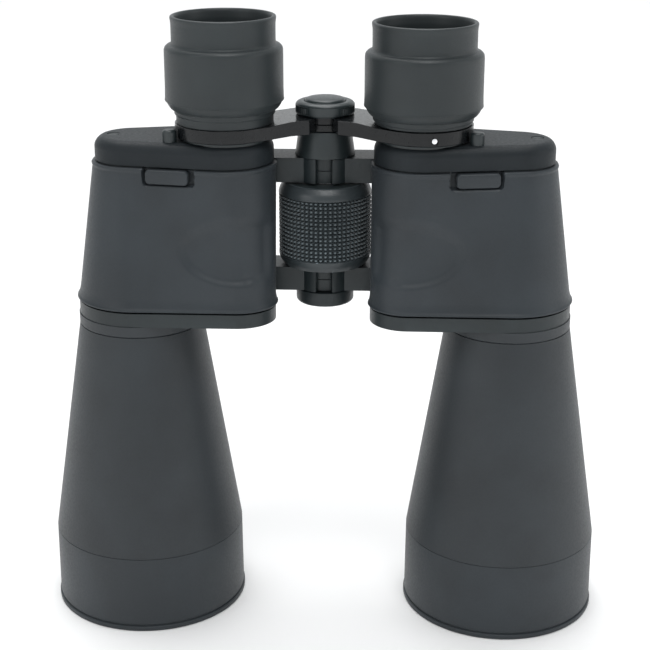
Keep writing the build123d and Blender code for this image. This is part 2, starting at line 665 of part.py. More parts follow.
def sided(name, maker, *args):
    """The right-hand piece and its mirror image, under their names."""
    piece = maker(*args)
    return {f"right_{name}": piece, f"left_{name}": mirror(piece, about=Plane.YZ)}


def half_body_pieces():
    """Everything fixed to the two half bodies, but for the hinge."""
    pieces = {
        "right_prism_housing": prism_housing(True, AXLE_R + RUN),
        "left_prism_housing": mirror(prism_housing(False, AXLE_R), about=Plane.YZ),
    }
    for name, maker in (
        ("rubber_armour", rubber_armour), ("strap_lug", strap_lug), ("bottom_plate", bottom_plate),
        ("top_cover", top_cover), ("eyepiece_guide", eyepiece_guide), ("cover_screws", cover_screws),
        ("prism_shelf", prism_shelf), ("prism_clips", prism_clips), ("objective_tube", objective_tube),
        ("objective_sleeve", objective_sleeve), ("tube_collar", tube_collar), ("lens_cell", lens_cell),
        ("retaining_ring", retaining_ring), ("crown_lens", crown_lens), ("flint_lens", flint_lens),
    ):
        pieces.update(sided(name, maker))
    pieces.update(sided("upper_prism", prism, True))
    pieces.update(sided("lower_prism", prism, False))
    return pieces


def centre_pieces():
    """Hinge and focusing pieces on the middle axis."""
    makers = (hinge_tube, tripod_boss, tripod_insert, hinge_collar, focus_wheel_core, focus_wheel_grip,
              focus_shaft, drive_pin, bridge_cap, cap_disc)
    return {maker.__name__: maker() for maker in makers}


def eyepiece_pieces():
    """Bridge arms and eyepieces; the right one turns in a sleeve."""
    left_arm = bridge_arm(False, SHAFT_R, BARREL_R)
    right_arm = bridge_arm(True, AXLE_BORE, BARREL_R) - screw_hole(SCREW_R)
    right_foot = SLEEVE_BORE - RUN
    return {
        "left_bridge_arm": mirror(left_arm, about=Plane.YZ),
        "left_ocular_barrel": eyepiece_barrel(BARREL_R, 0, -EYEPIECE_X),
        "left_field_lens": field_lens(BARREL_R, -EYEPIECE_X),
        "left_eye_lens": eye_lens(0, -EYEPIECE_X),
        "left_grip_ring": grip_ring(0, 0, -EYEPIECE_X),
        "left_eyecup": eyecup(0, -EYEPIECE_X),
        "right_bridge_arm": right_arm,
        "ocular_sleeve": ocular_sleeve(),
        "stop_screw": screw_hole(SCREW_R),
        "right_ocular_barrel": right_barrel(),
        "right_field_lens": field_lens(right_foot, EYEPIECE_X),
        "right_eye_lens": eye_lens(RIGHT_DROP, EYEPIECE_X),
        "diopter_ring": grip_ring(RIGHT_DROP, RUN, EYEPIECE_X),
        "right_eyecup": eyecup(RIGHT_DROP, EYEPIECE_X),
    }


os.makedirs("parts", exist_ok=True)
for node, solid in {**half_body_pieces(), **centre_pieces(), **eyepiece_pieces()}.items():
    export_step(solid, f"parts/{node}.step")
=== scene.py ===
import math

import bmesh
import bpy
from mathutils import Matrix, Vector


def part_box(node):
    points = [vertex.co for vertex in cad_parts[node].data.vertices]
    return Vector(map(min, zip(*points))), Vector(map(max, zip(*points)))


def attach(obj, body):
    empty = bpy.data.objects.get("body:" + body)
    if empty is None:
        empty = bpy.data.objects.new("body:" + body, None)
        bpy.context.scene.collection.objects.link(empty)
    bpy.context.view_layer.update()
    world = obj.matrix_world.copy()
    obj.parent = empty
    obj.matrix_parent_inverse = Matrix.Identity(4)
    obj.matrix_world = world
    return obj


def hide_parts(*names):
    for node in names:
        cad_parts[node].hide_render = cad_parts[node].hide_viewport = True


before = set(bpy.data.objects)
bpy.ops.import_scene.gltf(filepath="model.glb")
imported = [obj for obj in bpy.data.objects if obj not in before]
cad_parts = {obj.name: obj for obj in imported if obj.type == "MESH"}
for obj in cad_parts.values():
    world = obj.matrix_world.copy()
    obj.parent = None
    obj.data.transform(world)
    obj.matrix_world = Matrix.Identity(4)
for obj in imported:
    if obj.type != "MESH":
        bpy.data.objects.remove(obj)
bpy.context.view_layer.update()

# Porro-prism binoculars standing on their objective mouths. Lengths here are millimetres in the
# CAD frame: +Z up, +Y to the hinge side, the camera on the -Y side.
MM = 0.001

# ---- Driving dimensions, from the frame ----


def extent(node):
    """Centre (x, y), half width and height range of a CAD node, in millimetres.

    The half width of a round node is its radius.
    """
    low, high = (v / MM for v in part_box(node))
    middle = (low + high) / 2
    return middle.x, middle.y, (high.x - low.x) / 2, low.z, high.z


OBJECTIVE_X, _, TUBE_R, _, PLATE_Z = extent("right_objective_tube")
EYEPIECE_X, _, GRIP_R, GRIP_FOOT, RIM_Z = extent("left_eyecup")
EYEPIECE_X = abs(EYEPIECE_X)
RIGHT_DROP = RIM_Z - extent("right_eyecup")[4]
HINGE_Y = extent("focus_wheel_grip")[1]
WHEEL_R, WHEEL_LOW, WHEEL_HIGH = extent("focus_wheel_grip")[2:]
CAP_R, CAP_LOW, CAP_HIGH = extent("bridge_cap")[2:]
DISC_R, DISC_LOW, DISC_HIGH = extent("cap_disc")[2:]
HOUSING_LOW, HOUSING_HIGH = extent("right_prism_housing")[3:]
SLEEVE_LOW, SLEEVE_HIGH = extent("right_objective_sleeve")[3:]
COLLAR_R = extent("right_tube_collar")[2]

# ---- Objective tubes ----
MOUTH_R = TUBE_R - 2.0
BAND_R = TUBE_R - 0.6         # front band
CELL_LOW, CELL_HIGH = 12.0, 26.0
THREAD_DEPTH = 0.28
BAFFLES = 8

# ---- Rubber armour ----
# Plan of the right housing: corner circles (x, y, radius), counter-clockwise, joined by their
# outer tangents, at the bottom seam and at the top seam.
PLAN_LOW = [(29.5, -8.5, 13.1), (65.2, 0.0, 21.7), (65.2, 2.0, 21.5), (40.0, 6.0, 20.0)]
PLAN_HIGH = [(33.8, 0.0, 17.3), (66.2, 1.8, 13.9), (66.4, 3.0, 13.7), (39.0, 5.0, 18.0)]
ARC_STEPS = (40, 56, 40, 56)         # points on each corner
STRAIGHT_STEPS = (90, 6, 56, 12)     # and on the side after it
WALL_ROWS = 84
FRONT = -0.9                         # a normal with less Y than this is on the front
ARMOUR_T = 1.8
LEAST_WALL = 0.3              # behind a recess
NOTCH_X = 51.9                # middle of the strap recess
NOTCH_HALF = 9.1
NOTCH_Z = 159.8
NOTCH_DEPTH = 2.9
PAD_SIZE = (15.0, 5.0, 3.4)    # strap bar: width, height, depth
PAD_CORNER = 1.5
PAD_PROUD = 0.7
REST_AT = (29.0, 138.6)       # thumb rest, on the front
REST_HALF = (20.5, 12.6)
REST_DEPTH = 1.5
DIMPLE_AT = (25.0, 128.4)
DIMPLE_DEPTH = 0.4

# ---- Knurling of the wheel ----
KNURL_BAND = 4.0
KNURL_ROWS = 15
KNURL_COLUMNS = 60
KNURL_DEPTH = 0.95
KNURL_STEPS = 6               # mesh steps on each pyramid
KNURL_SLOPE = 1.35            # above 1 the pyramids have flat tops

# ---- Bridge cap ----
CAP_FOOT = 0.6                # smooth stretches below and above the grooves
CAP_SHOULDER = 1.2
CAP_GROOVES = 56
CAP_GROOVE_DEPTH = 0.3

# ---- Studio light ----
SKY = (0.96, 0.985, 1.0)
SKY_DIM = 0.42
LIGHT_SIZE = 0.7              # metres, as are the three below
LIGHT_TARGET = (0, 0, 0.1)
FLOOR_HALF = 6.0
FLOOR_GAP = 0.2 * MM

# ---- Camera ----
CAMERA_AT = (21.92, -503.18, 286.0)
CAMERA_YAW = -0.0427          # radians, as are pitch and roll
CAMERA_PITCH = 0.3435
CAMERA_ROLL = 0.0007
LENS_MM = 82.89
SENSOR_MM = 36.0


# ---- Materials ----

COLOUR_INPUTS = slice(6, 8)   # the colour sockets of a mix node
COLOUR_OUTPUT = 2
DUST = (0.6, 0.6, 0.58)


def node_tree(name):
    """New node material: the material, its nodes, its links and its shader."""
    material = bpy.data.materials.new(name)
    material.use_nodes = True
    nodes = material.node_tree.nodes
    return material, nodes, material.node_tree.links, nodes["Principled BSDF"]


def noise_factor(nodes, links, scale, detail, stretch=None):
    """Noise over the object's own coordinates, as a 0..1 output."""
    place = nodes.new("ShaderNodeTexCoord").outputs["Object"]
    if stretch:
        mapping = nodes.new("ShaderNodeMapping")
        mapping.inputs["Scale"].default_value = stretch
        links.new(place, mapping.inputs["Vector"])
        place = mapping.outputs["Vector"]
    noise = nodes.new("ShaderNodeTexNoise")
    noise.inputs["Scale"].default_value = scale
    noise.inputs["Detail"].default_value = detail
    links.new(place, noise.inputs["Vector"])
    return noise.outputs["Fac"]


def ranged(nodes, links, source, from_low, from_high, to_low, to_high):
    """Source mapped from one range to another, clamped."""
    node = nodes.new("ShaderNodeMapRange")
    limits = {"From Min": from_low, "From Max": from_high, "To Min": to_low, "To Max": to_high}
    for key, value in limits.items():
        node.inputs[key].default_value = value
    links.new(source, node.inputs["Value"])
    return node.outputs["Result"]


def mixed(nodes, links, factor, low, high):
    """Colour mix; low and high are colours or outputs."""
    node = nodes.new("ShaderNodeMix")
    node.data_type = "RGBA"
    links.new(factor, node.inputs["Factor"])
    for socket, value in zip(node.inputs[COLOUR_INPUTS], (low, high)):
        if isinstance(value, tuple):
            socket.default_value = (*value, 1.0)
        else:
            links.new(value, socket)
    return node.outputs[COLOUR_OUTPUT]


def combined(nodes, links, operation, a, b):
    """Two outputs joined by a math operation."""
    node = nodes.new("ShaderNodeMath")
    node.operation = operation
    links.new(a, node.inputs[0])
    links.new(b, node.inputs[1])
    return node.outputs[0]


def bumped(nodes, links, shader, height, strength, depth_mm):
    """Fine relief on the shader's normal."""
    bump = nodes.new("ShaderNodeBump")
    bump.inputs["Strength"].default_value = strength
    bump.inputs["Distance"].default_value = depth_mm * MM
    links.new(height, bump.inputs["Height"])
    links.new(bump.outputs["Normal"], shader.inputs["Normal"])


def scaled(colour, factor):
    """Colour multiplied by a factor."""
    return tuple(c * factor for c in colour)


def moulded(name, colour, roughness, grain_mm, grain_depth, edge_wear_and_glint, specular, sheen=0.0, pale=2.2):
    """Moulded rubber, plastic or paint: cloudy colour, fine grain, dust, and paler sharp edges, part wear
    and part painted highlight.

    The edge-paling share sets how far a sharp edge goes towards the colour made pale times brighter: wear,
    and where it is strong, as on the wheel's knurl tips, a painted highlight.
    """
    material, nodes, links, shader = node_tree(name)
    clouds = noise_factor(nodes, links, 45.0, 3.0)
    speckle = noise_factor(nodes, links, 1400.0, 2.0)
    grain = noise_factor(nodes, links, 0.5 / (grain_mm * MM), 3.0)
    body = mixed(nodes, links, ranged(nodes, links, clouds, 0.35, 0.65, 0.0, 1.0),
                 scaled(colour, 0.86), scaled(colour, 1.14))
    dust = ranged(nodes, links, speckle, 0.70, 0.80, 0.0, 0.2)
    body = mixed(nodes, links, dust, body, scaled(colour, 2.6))
    # Sharp edges (pointiness) are paled: this is wear, and on the wheel's knurl tips a painted highlight
    # that stands in for their glints.
    edge = nodes.new("ShaderNodeNewGeometry").outputs["Pointiness"]
    wear_and_glint = combined(nodes, links, "MULTIPLY", ranged(nodes, links, edge, 0.52, 0.62, 0.0, edge_wear_and_glint),
                   ranged(nodes, links, clouds, 0.3, 0.6, 0.4, 1.0))
    body = mixed(nodes, links, wear_and_glint, body, scaled(colour, pale))
    links.new(body, shader.inputs["Base Color"])
    polish = ranged(nodes, links, grain, 0.3, 0.7, roughness - 0.07, roughness + 0.07)
    links.new(polish, shader.inputs["Roughness"])
    shader.inputs["Specular IOR Level"].default_value = specular
    if sheen:
        shader.inputs["Sheen Weight"].default_value = sheen
        shader.inputs["Sheen Roughness"].default_value = 0.5
    bumped(nodes, links, shader, grain, 0.6, grain_depth)
    return material


def machined(name, colour, roughness, stretch):
    """Bare metal with fine tool marks drawn out along one direction, and slight tarnish."""
    material, nodes, links, shader = node_tree(name)
    marks = noise_factor(nodes, links, 900.0, 3.0, stretch)
    tarnish = noise_factor(nodes, links, 120.0, 4.0)
    dulled = ranged(nodes, links, tarnish, 0.35, 0.7, 0.0, 1.0)
    links.new(mixed(nodes, links, dulled, colour, scaled(colour, 0.72)), shader.inputs["Base Color"])
    polish = ranged(nodes, links, marks, 0.3, 0.7, roughness - 0.08, roughness + 0.1)
    links.new(polish, shader.inputs["Roughness"])
    shader.inputs["Metallic"].default_value = 1.0
    bumped(nodes, links, shader, marks, 0.4, 0.01)
    return material


def glass(name, colour, coating_nm):
    """Polished glass with faint dust and, if coated, a thin interference film."""
    material, nodes, links, shader = node_tree(name)
    smears = noise_factor(nodes, links, 160.0, 5.0)
    specks = noise_factor(nodes, links, 1800.0, 2.0)
    dust = ranged(nodes, links, specks, 0.7, 0.8, 0.0, 0.3)
    links.new(mixed(nodes, links, dust, colour, DUST), shader.inputs["Base Color"])
    links.new(ranged(nodes, links, smears, 0.45, 0.75, 0.01, 0.07), shader.inputs["Roughness"])
    shader.inputs["Transmission Weight"].default_value = 0.85
    shader.inputs["IOR"].default_value = 1.55
    if coating_nm:
        shader.inputs["Thin Film Thickness"].default_value = coating_nm
        shader.inputs["Thin Film IOR"].default_value = 1.38
    return material


# colour, roughness, size and depth of the grain in mm, edge paling (wear, and painted highlight where
# strong), specular level, sheen, pale
ARMOUR = moulded("armour_rubber", (0.021, 0.027, 0.032), 0.50, 0.4, 0.030, 0.30, 0.42, 0.03)
SLEEVE = moulded("sleeve_rubber", (0.022, 0.027, 0.031), 0.50, 0.4, 0.025, 0.25, 0.42, 0.03)
EYECUP = moulded("eyecup_rubber", (0.019, 0.025, 0.027), 0.46, 0.3, 0.020, 0.30, 0.42, 0.03)
# Wheel: strong edge paling (0.90, pale 6.0) is a painted highlight on the knurl tips, with a little wear.
WHEEL = moulded("wheel_rubber", (0.034, 0.042, 0.046), 0.38, 0.3, 0.012, 0.90, 0.45, 0.0, 6.0)
CASTING = moulded("black_casting", (0.014, 0.020, 0.022), 0.42, 0.5, 0.020, 0.35, 0.40)
COVER = moulded("cover_black", (0.015, 0.019, 0.022), 0.50, 0.5, 0.020, 0.35, 0.20)
SATIN = moulded("satin_black", (0.018, 0.025, 0.027), 0.38, 0.3, 0.012, 0.40, 0.50)
# Bridge arms: the base colour is far darker than the other blacks. This is painted shade for the shadow
# that the eyepieces cast on the arms, not a different paint.
ARM_BLACK_PAINTED_SHADE = moulded("arm_black_painted_shade", (0.006, 0.007, 0.008), 0.22, 0.5, 0.006, 0.50, 0.30)
FLOCK = moulded("matt_black", (0.012, 0.012, 0.013), 0.80, 0.3, 0.020, 0.10, 0.20)
# colour, roughness, stretch of the tool marks
BARE_METAL = machined("bare_metal", (0.62, 0.63, 0.65), 0.3, (1.0, 1.0, 6.0))
SPRING_STEEL = machined("spring_steel", (0.55, 0.56, 0.58), 0.28, (6.0, 1.0, 1.0))
BRASS = machined("brass_insert", (0.72, 0.56, 0.28), 0.3, (1.0, 1.0, 8.0))
SCREW = machined("bright_screw", (0.82, 0.83, 0.85), 0.18, (1.0, 8.0, 1.0))
# colour, thickness of the coating in nanometres
COATED = glass("coated_glass", (0.62, 0.60, 0.74), 410.0)
CLEAR = glass("clear_glass", (0.86, 0.92, 0.92), 0.0)


# ---- Mesh helpers ----

def new_piece(name, mesh, material, body, stands_for, sharp_deg=32.0):
    """Link a finished mesh, shade it, and hang it on its body in place of CAD nodes."""
    mesh.materials.append(material)
    mesh.shade_smooth()
    mesh.set_sharp_from_angle(angle=math.radians(sharp_deg))
    piece = bpy.data.objects.new(name, mesh)
    bpy.context.scene.collection.objects.link(piece)
    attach(piece, body)
    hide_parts(*stands_for)


def softened(profile):
    """Closed profile of (radius, z, rounding): each corner with a rounding becomes a small arc."""
    longest = 0.48            # of a side, that a rounding may take
    steps = 5
    points = []
    for i, (r, z, rounding) in enumerate(profile):
        here = Vector((r, z))
        if not rounding:
            points.append(here)
            continue
        before = Vector(profile[i - 1][:2])
        after = Vector(profile[(i + 1) % len(profile)][:2])
        start = here + (before - here).normalized() * min(rounding, longest * (before - here).length)
        end = here + (after - here).normalized() * min(rounding, longest * (after - here).length)
        for t in (k / steps for k in range(steps + 1)):
            points.append(start * (1 - t) ** 2 + here * 2 * t * (1 - t) + end * t**2)
    return points


def lathe(name, points, x, y, steps=144, ripple=None):
    """Ring-shaped mesh turned about an upright axis; ripple(r, z, angle) may change the radius."""
    mesh = bpy.data.meshes.new(name)
    vertices = []
    for i in range(steps):
        angle = 2 * math.pi * i / steps
        for r, z in points:
            radius = ripple(r, z, angle) if ripple else r
            place = (x + radius * math.cos(angle), y + radius * math.sin(angle), z)
            vertices.append([v * MM for v in place])
    count = len(points)
    faces = []
    for i in range(steps):
        near, far = i * count, (i + 1) % steps * count
        for j in range(count):
            k = (j + 1) % count
            faces.append((near + j, far + j, far + k, near + k))
    mesh.from_pydata(vertices, [], faces)
    outward(mesh)
    return mesh


def outward(mesh):
    """Turn all faces to point out of the closed mesh."""
    work = bmesh.new()
    work.from_mesh(mesh)
    bmesh.ops.recalc_face_normals(work, faces=work.faces)
    work.to_mesh(mesh)
    work.free()


def smoothstep(value):
    """0 below 0, 1 above 1, smooth between."""
    t = min(max(value, 0.0), 1.0)
    return t * t * (3 - 2 * t)


# ---- Rubber armour ----

def plan(z):
    """Corner circles at height z."""
    t = (z - HOUSING_LOW) / (HOUSING_HIGH - HOUSING_LOW)
    return [tuple(a + (b - a) * t for a, b in zip(low, high)) for low, high in zip(PLAN_LOW, PLAN_HIGH)]


def outline(z):
    """Points and outward normals around the plan at height z; every height has as many points."""
    circles = plan(z)
    normals = []
    for (x1, y1, r1), (x2, y2, r2) in zip(circles, circles[1:] + circles[:1]):
        length = math.hypot(x2 - x1, y2 - y1)
        ux, uy = (x2 - x1) / length, (y2 - y1) / length
        cosine = (r1 - r2) / length
        sine = math.sqrt(1 - cosine**2)
        normals.append((ux * cosine + uy * sine, uy * cosine - ux * sine))
    result = []
    for i, (x, y, r) in enumerate(circles):
        (ax, ay), (bx, by) = normals[i - 1], normals[i]
        start = math.atan2(ay, ax)
        turn = (math.atan2(by, bx) - start) % (2 * math.pi)
        for k in range(ARC_STEPS[i]):
            angle = start + turn * k / ARC_STEPS[i]
            nx, ny = math.cos(angle), math.sin(angle)
            result.append((x + r * nx, y + r * ny, nx, ny))
        x2, y2, r2 = circles[(i + 1) % len(circles)]
        from_x, from_y = x + r * bx, y + r * by
        to_x, to_y = x2 + r2 * bx, y2 + r2 * by
        for k in range(STRAIGHT_STEPS[i]):
            t = k / STRAIGHT_STEPS[i]
            result.append((from_x + (to_x - from_x) * t, from_y + (to_y - from_y) * t, bx, by))
    return result


def armour_heights():
    """Heights and outward offsets of the armour's wall, from its flared foot to its top bead."""
    low, high = HOUSING_LOW, HOUSING_HIGH
    foot = [
        (0.72, -1.5), (0.66, -0.2), (0.66, 0.30), (0.74, 0.58), (0.95, 0.74), (1.25, 0.74), (1.52, 0.60),
        (1.80, 0.40), (2.20, 0.30),
    ]
    lip_top, lip_out = foot[-1]
    flare_top, flare_rows = 5.0, 8
    flare = [(lip_top + (flare_top - lip_top) * t, lip_out * (1 - t) ** 2)
             for t in (k / flare_rows for k in range(1, flare_rows + 1))]
    wall_low, wall_high = low + flare_top, high - 2.6
    wall = [(wall_low + (wall_high - wall_low) * k / WALL_ROWS, 0.0) for k in range(1, WALL_ROWS + 1)]
    bead = [
        (2.2, -0.04), (1.9, 0.0), (1.7, 0.10), (1.45, 0.26), (1.15, 0.36), (0.85, 0.36), (0.62, 0.26),
        (0.47, 0.08), (0.42, -0.2), (0.40, -0.8), (0.40, -1.1), (0.55, -1.25),
    ]
    return [(low + z, out) for z, out in foot + flare] + wall + [(high - z, out) for z, out in bead]


def thumb_rest(x, z):
    """Depth of the thumb rest: steep at the outer end and below, fading upwards and to the hinge."""
    along = (x - REST_AT[0]) / REST_HALF[0]
    across = (z - REST_AT[1]) / REST_HALF[1]
    reach = math.hypot(max(along, 0.0), across)
    steep, upper_fade, inner_fade = 0.2, 0.35, 0.25   # widths of the edge, as shares of the half size
    fading = smoothstep((across - 0.1) / 0.8) * upper_fade + smoothstep(-along) * inner_fade
    hollow = smoothstep((1 - reach) / (steep + fading)) * (0.6 + 0.4 * smoothstep(1.2 - reach))
    dimple = DIMPLE_DEPTH * math.exp(-((x - DIMPLE_AT[0]) ** 2 + (z - DIMPLE_AT[1]) ** 2) / 2.0)
    return REST_DEPTH * hollow + dimple


def strap_recess(x, z):
    """Depth of the recess behind the strap lug, open at the top seam."""
    corner, edge = 1.6, 0.45
    out_x = max(abs(x - NOTCH_X) - NOTCH_HALF + corner, 0.0)
    out_z = max(NOTCH_Z + corner - z, 0.0)
    return NOTCH_DEPTH * smoothstep((corner - math.hypot(out_x, out_z)) / edge)


def armour_mesh():
    """Right-hand armour: a closed skin with bead, flare, thumb rest and strap recess."""
    heights = armour_heights()
    rows = []
    for z, offset in heights:
        row = []
        for x, y, nx, ny in outline(z):
            facing = smoothstep((-ny - 0.25) / 0.35)
            inward = thumb_rest(x, z) * facing
            if ny < FRONT:
                inward = max(inward, strap_recess(x, z))
            out = offset - inward
            row.append((x + nx * out, y + ny * out, z, inward))
        rows.append(row)
    columns = len(rows[0])
    inner = []
    for end in (-1, 0):
        z = heights[end][0]
        row = []
        for (x, y, nx, ny), near in zip(outline(z), rows[end]):
            depth = max(ARMOUR_T, near[3] + LEAST_WALL)
            row.append((x - nx * depth, y - ny * depth, z, 0))
        inner.append(row)
    rows += inner
    mesh = bpy.data.meshes.new("right_armour_skin")
    vertices = [(x * MM, y * MM, z * MM) for row in rows for x, y, z, _ in row]
    faces = []
    for i in range(len(rows)):
        a, b = i * columns, (i + 1) % len(rows) * columns
        for j in range(columns):
            k = (j + 1) % columns
            faces.append((a + j, a + k, b + k, b + j))
    mesh.from_pydata(vertices, [], faces)
    outward(mesh)
    return mesh


def mirrored(mesh, name):
    """Mirror image of a mesh in the plane X = 0."""
    copy = mesh.copy()
    copy.name = name
    copy.transform(Matrix.Scale(-1, 4, Vector((1, 0, 0))))
    copy.flip_normals()
    return copy


def strap_pad():
    """Right-hand strap bar: a rounded pad standing a little proud of the armour."""
    low, high = (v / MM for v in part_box("right_strap_lug"))
    width, height, depth = PAD_SIZE
    middle, level = (low.x + high.x) / 2, high.z - height / 2
    circles = plan(level)
    (x1, y1, r1), (x2, y2, r2) = circles[:2]
    slope = math.atan2((y2 - r2) - (y1 - r1), x2 - x1)
    front = (y1 - r1) + (middle - x1) * math.tan(slope) - PAD_PROUD
    mesh = bpy.data.meshes.new("right_strap_pad")
    work = bmesh.new()
    bmesh.ops.create_cube(work, size=1.0)
    bmesh.ops.scale(work, vec=(width, depth, height), verts=work.verts)
    corners = [e for e in work.edges if abs(e.verts[0].co.y - e.verts[1].co.y) > depth / 2]
    bmesh.ops.bevel(work, geom=corners, offset=PAD_CORNER, segments=6, profile=0.5, affect="EDGES")
    face = [e for e in work.edges if all(v.co.y < 0 for v in e.verts)]
    bmesh.ops.bevel(work, geom=face, offset=PAD_CORNER / 2, segments=5, profile=0.5, affect="EDGES")
    place = Matrix.Translation((middle, front + depth / 2, level))
    place = Matrix.Scale(MM, 4) @ place @ Matrix.Rotation(slope, 4, "Z")
    bmesh.ops.transform(work, matrix=place, verts=work.verts)
    work.to_mesh(mesh)
    work.free()
    return mesh


for piece, right_mesh, slot, node in (
    ("armour_skin", armour_mesh(), "armour_rubber", "rubber_armour"),
    ("strap_pad", strap_pad(), "black_casting", "strap_lug"),
):
    left_mesh = mirrored(right_mesh, f"left_{piece}")
    for side, mesh in (("right", right_mesh), ("left", left_mesh)):
        new_piece(f"{side}_{piece}", mesh, ARMOUR, f"{side}_half", [f"{side}_{node}"])


# ---- Objective tubes ----

def tube_profile():
    """Front band with its lip line, the cone under the sleeve, and the threaded mouth."""
    cone_top = COLLAR_R - 1.8
    neck, neck_bore = cone_top + 0.3, cone_top - 1.7
    lip = [(MOUTH_R, 0, 0.25), (TUBE_R, 0, 0.35), (TUBE_R, 1.55, 0.25), (TUBE_R - 0.75, 1.75, 0.1),
           (TUBE_R - 0.75, 2.15, 0.1), (TUBE_R - 0.35, 2.35, 0.25)]
    wall = [(BAND_R, SLEEVE_LOW - 0.05, 0.2), (BAND_R - 0.95, SLEEVE_LOW, 0), (cone_top, SLEEVE_HIGH, 0),
            (neck, SLEEVE_HIGH, 0), (neck, PLATE_Z, 0), (neck_bore, PLATE_Z, 0)]
    baffles = []
    for k in range(1, BAFFLES + 1):
        t = k / BAFFLES
        r = neck_bore * (1 - t) + (TUBE_R - 3.8) * t
        z = PLATE_Z - 4 - (PLATE_Z - 34) * t
        baffles += [(r - 0.9, z + 0.3, 0), (r, z, 0)]
    seat, cell = TUBE_R - 3.6, TUBE_R - 2.6
    bore = [(seat, CELL_HIGH + 2, 0), (seat, CELL_HIGH, 0), (cell, CELL_HIGH, 0), (cell, CELL_LOW, 0),
            (MOUTH_R, CELL_LOW, 0)]
    thread = [(MOUTH_R + (THREAD_DEPTH if k % 2 else 0.0), 1.2 + 0.5 * k, 0) for k in reversed(range(20))]
    return softened(lip + wall + baffles + bore + thread)


def sleeve_profile():
    """Rubber sleeve over the cone, with a small lip at its foot."""
    top = COLLAR_R - 0.03
    return softened([
        (BAND_R - 0.95, SLEEVE_LOW, 0), (BAND_R + 0.03, SLEEVE_LOW + 0.05, 0.25),
        (BAND_R - 0.12, SLEEVE_LOW + 0.9, 0.3), (top, SLEEVE_HIGH, 0.1), (top - 1.5, SLEEVE_HIGH, 0),
    ])


for side, sign in (("right", 1), ("left", -1)):
    tube = lathe(f"{side}_tube_body", tube_profile(), sign * OBJECTIVE_X, 0)
    replaced = [f"{side}_objective_tube"]
    new_piece(f"{side}_tube_body", tube, ARMOUR, f"{side}_half", replaced)
    skin = lathe(f"{side}_cone_skin", sleeve_profile(), sign * OBJECTIVE_X, 0)
    replaced = [f"{side}_objective_sleeve"]
    new_piece(f"{side}_cone_skin", skin, SLEEVE, f"{side}_half", replaced)


# ---- Eyepieces ----

def eyecup_profile(drop):
    """Moulded grip and fold-down cup, with the parting lip above the chamfer."""
    core, lens_r = GRIP_R - 1.85, 12.2
    foot, grip = GRIP_FOOT, GRIP_R - 0.2
    step, rim = RIM_Z - 9.7, RIM_Z
    cup = grip - 2.35
    grip_wall = [
        (core, foot, 0), (GRIP_R - 0.15, foot, 0.15), (GRIP_R, foot + 0.25, 0.2),
        (grip + 0.1, foot + 0.7, 0.3), (grip, foot + 4, 0), (grip - 0.02, step - 2.0, 0.6),
        (grip - 0.15, step - 0.9, 0.7), (grip - 1.0, step - 0.05, 0.7),
    ]
    cup_wall = [
        (cup + 0.25, step + 0.25, 0.3), (cup - 0.12, step + 0.75, 0.4), (cup - 0.18, step + 1.6, 0.5),
        (cup - 0.16, rim - 2.4, 0.6), (cup + 0.05, rim - 1.0, 0.5), (cup + 0.08, rim - 0.4, 0.4),
        (cup - 0.35, rim, 0.4), (cup - 1.15, rim, 0.5), (cup - 1.55, rim - 0.8, 0.4),
        (cup - 1.85, rim - 3.2, 0.6), (cup - 1.9, step + 1.4, 1.0),
    ]
    well = [
        (lens_r + 3, step - 0.4, 0.5), (lens_r + 0.2, step - 1.0, 0.3), (lens_r, step - 2.0, 0.2),
        (lens_r + 0.4, step - 2.6, 0), (core, step - 2.6, 0),
    ]
    return softened([(r, z - drop, rounding) for r, z, rounding in grip_wall + cup_wall + well])


def ring_profile(node):
    """Neck and chamfer of the ring under the eyecup."""
    _, _, outer, low, high = extent(node)
    inner, neck, seat, seat_z = 16.63, 17.2, 18.55, low + 4.78
    return softened([
        (inner, low, 0), (neck - 0.3, low, 0.1), (neck, low + 0.4, 0.2), (neck, low + 1.7, 0.3),
        (outer - 1.6, low + 2.1, 0.4), (outer - 0.8, low + 3.1, 0.5), (outer - 0.1, low + 4.5, 0.2),
        (outer - 0.1, seat_z, 0), (seat, seat_z, 0), (seat, high, 0), (inner, high, 0),
    ])


for side, sign, drop, body, ring in (
    ("left", -1, 0.0, "left_carriage", "left_grip_ring"),
    ("right", 1, RIGHT_DROP, "diopter_grip", "diopter_ring"),
):
    cup = lathe(f"{side}_cup_moulding", eyecup_profile(drop), sign * EYEPIECE_X, 0)
    new_piece(f"{side}_cup_moulding", cup, EYECUP, body, [f"{side}_eyecup"])
    band = lathe(f"{side}_grip_band", ring_profile(ring), sign * EYEPIECE_X, 0)
    new_piece(f"{side}_grip_band", band, EYECUP, body, [ring])


# ---- Focusing wheel and bridge cap ----

def triangle(value):
    """Triangle wave: 0 at whole numbers, 1 halfway."""
    return 1 - abs(2 * (value % 1.0) - 1)


def knurl(r, z, angle):
    """Rows of small square pyramids in the wheel's middle."""
    low, high = WHEEL_LOW + KNURL_BAND, WHEEL_HIGH - KNURL_BAND
    on_wall = r >= WHEEL_R - 0.4
    if not (on_wall and low < z < high):
        return r
    across = triangle(angle * KNURL_COLUMNS / (2 * math.pi))
    up = triangle((z - low) / (high - low) * KNURL_ROWS)
    return r - KNURL_DEPTH + KNURL_DEPTH * min(1.0, KNURL_SLOPE * min(across, up))


def wheel_profile():
    """Bevelled smooth bands above and below the knurled middle."""
    low, high, inner = WHEEL_LOW, WHEEL_HIGH, extent("focus_wheel_core")[2]
    foot = softened([(inner, low, 0), (WHEEL_R - 2.0, low, 0.3), (WHEEL_R - 0.5, low + 1.9, 0.7),
                     (WHEEL_R - 0.02, low + 3.4, 0.5), (WHEEL_R - 0.02, low + KNURL_BAND - 0.1, 0.1)])
    top = [Vector((r, low + high - z)) for r, z in reversed(foot)]
    rows = KNURL_ROWS * KNURL_STEPS
    start, end = low + KNURL_BAND, high - KNURL_BAND
    middle = [Vector((WHEEL_R, start + (end - start) * k / rows)) for k in range(rows + 1)]
    return foot + middle + top


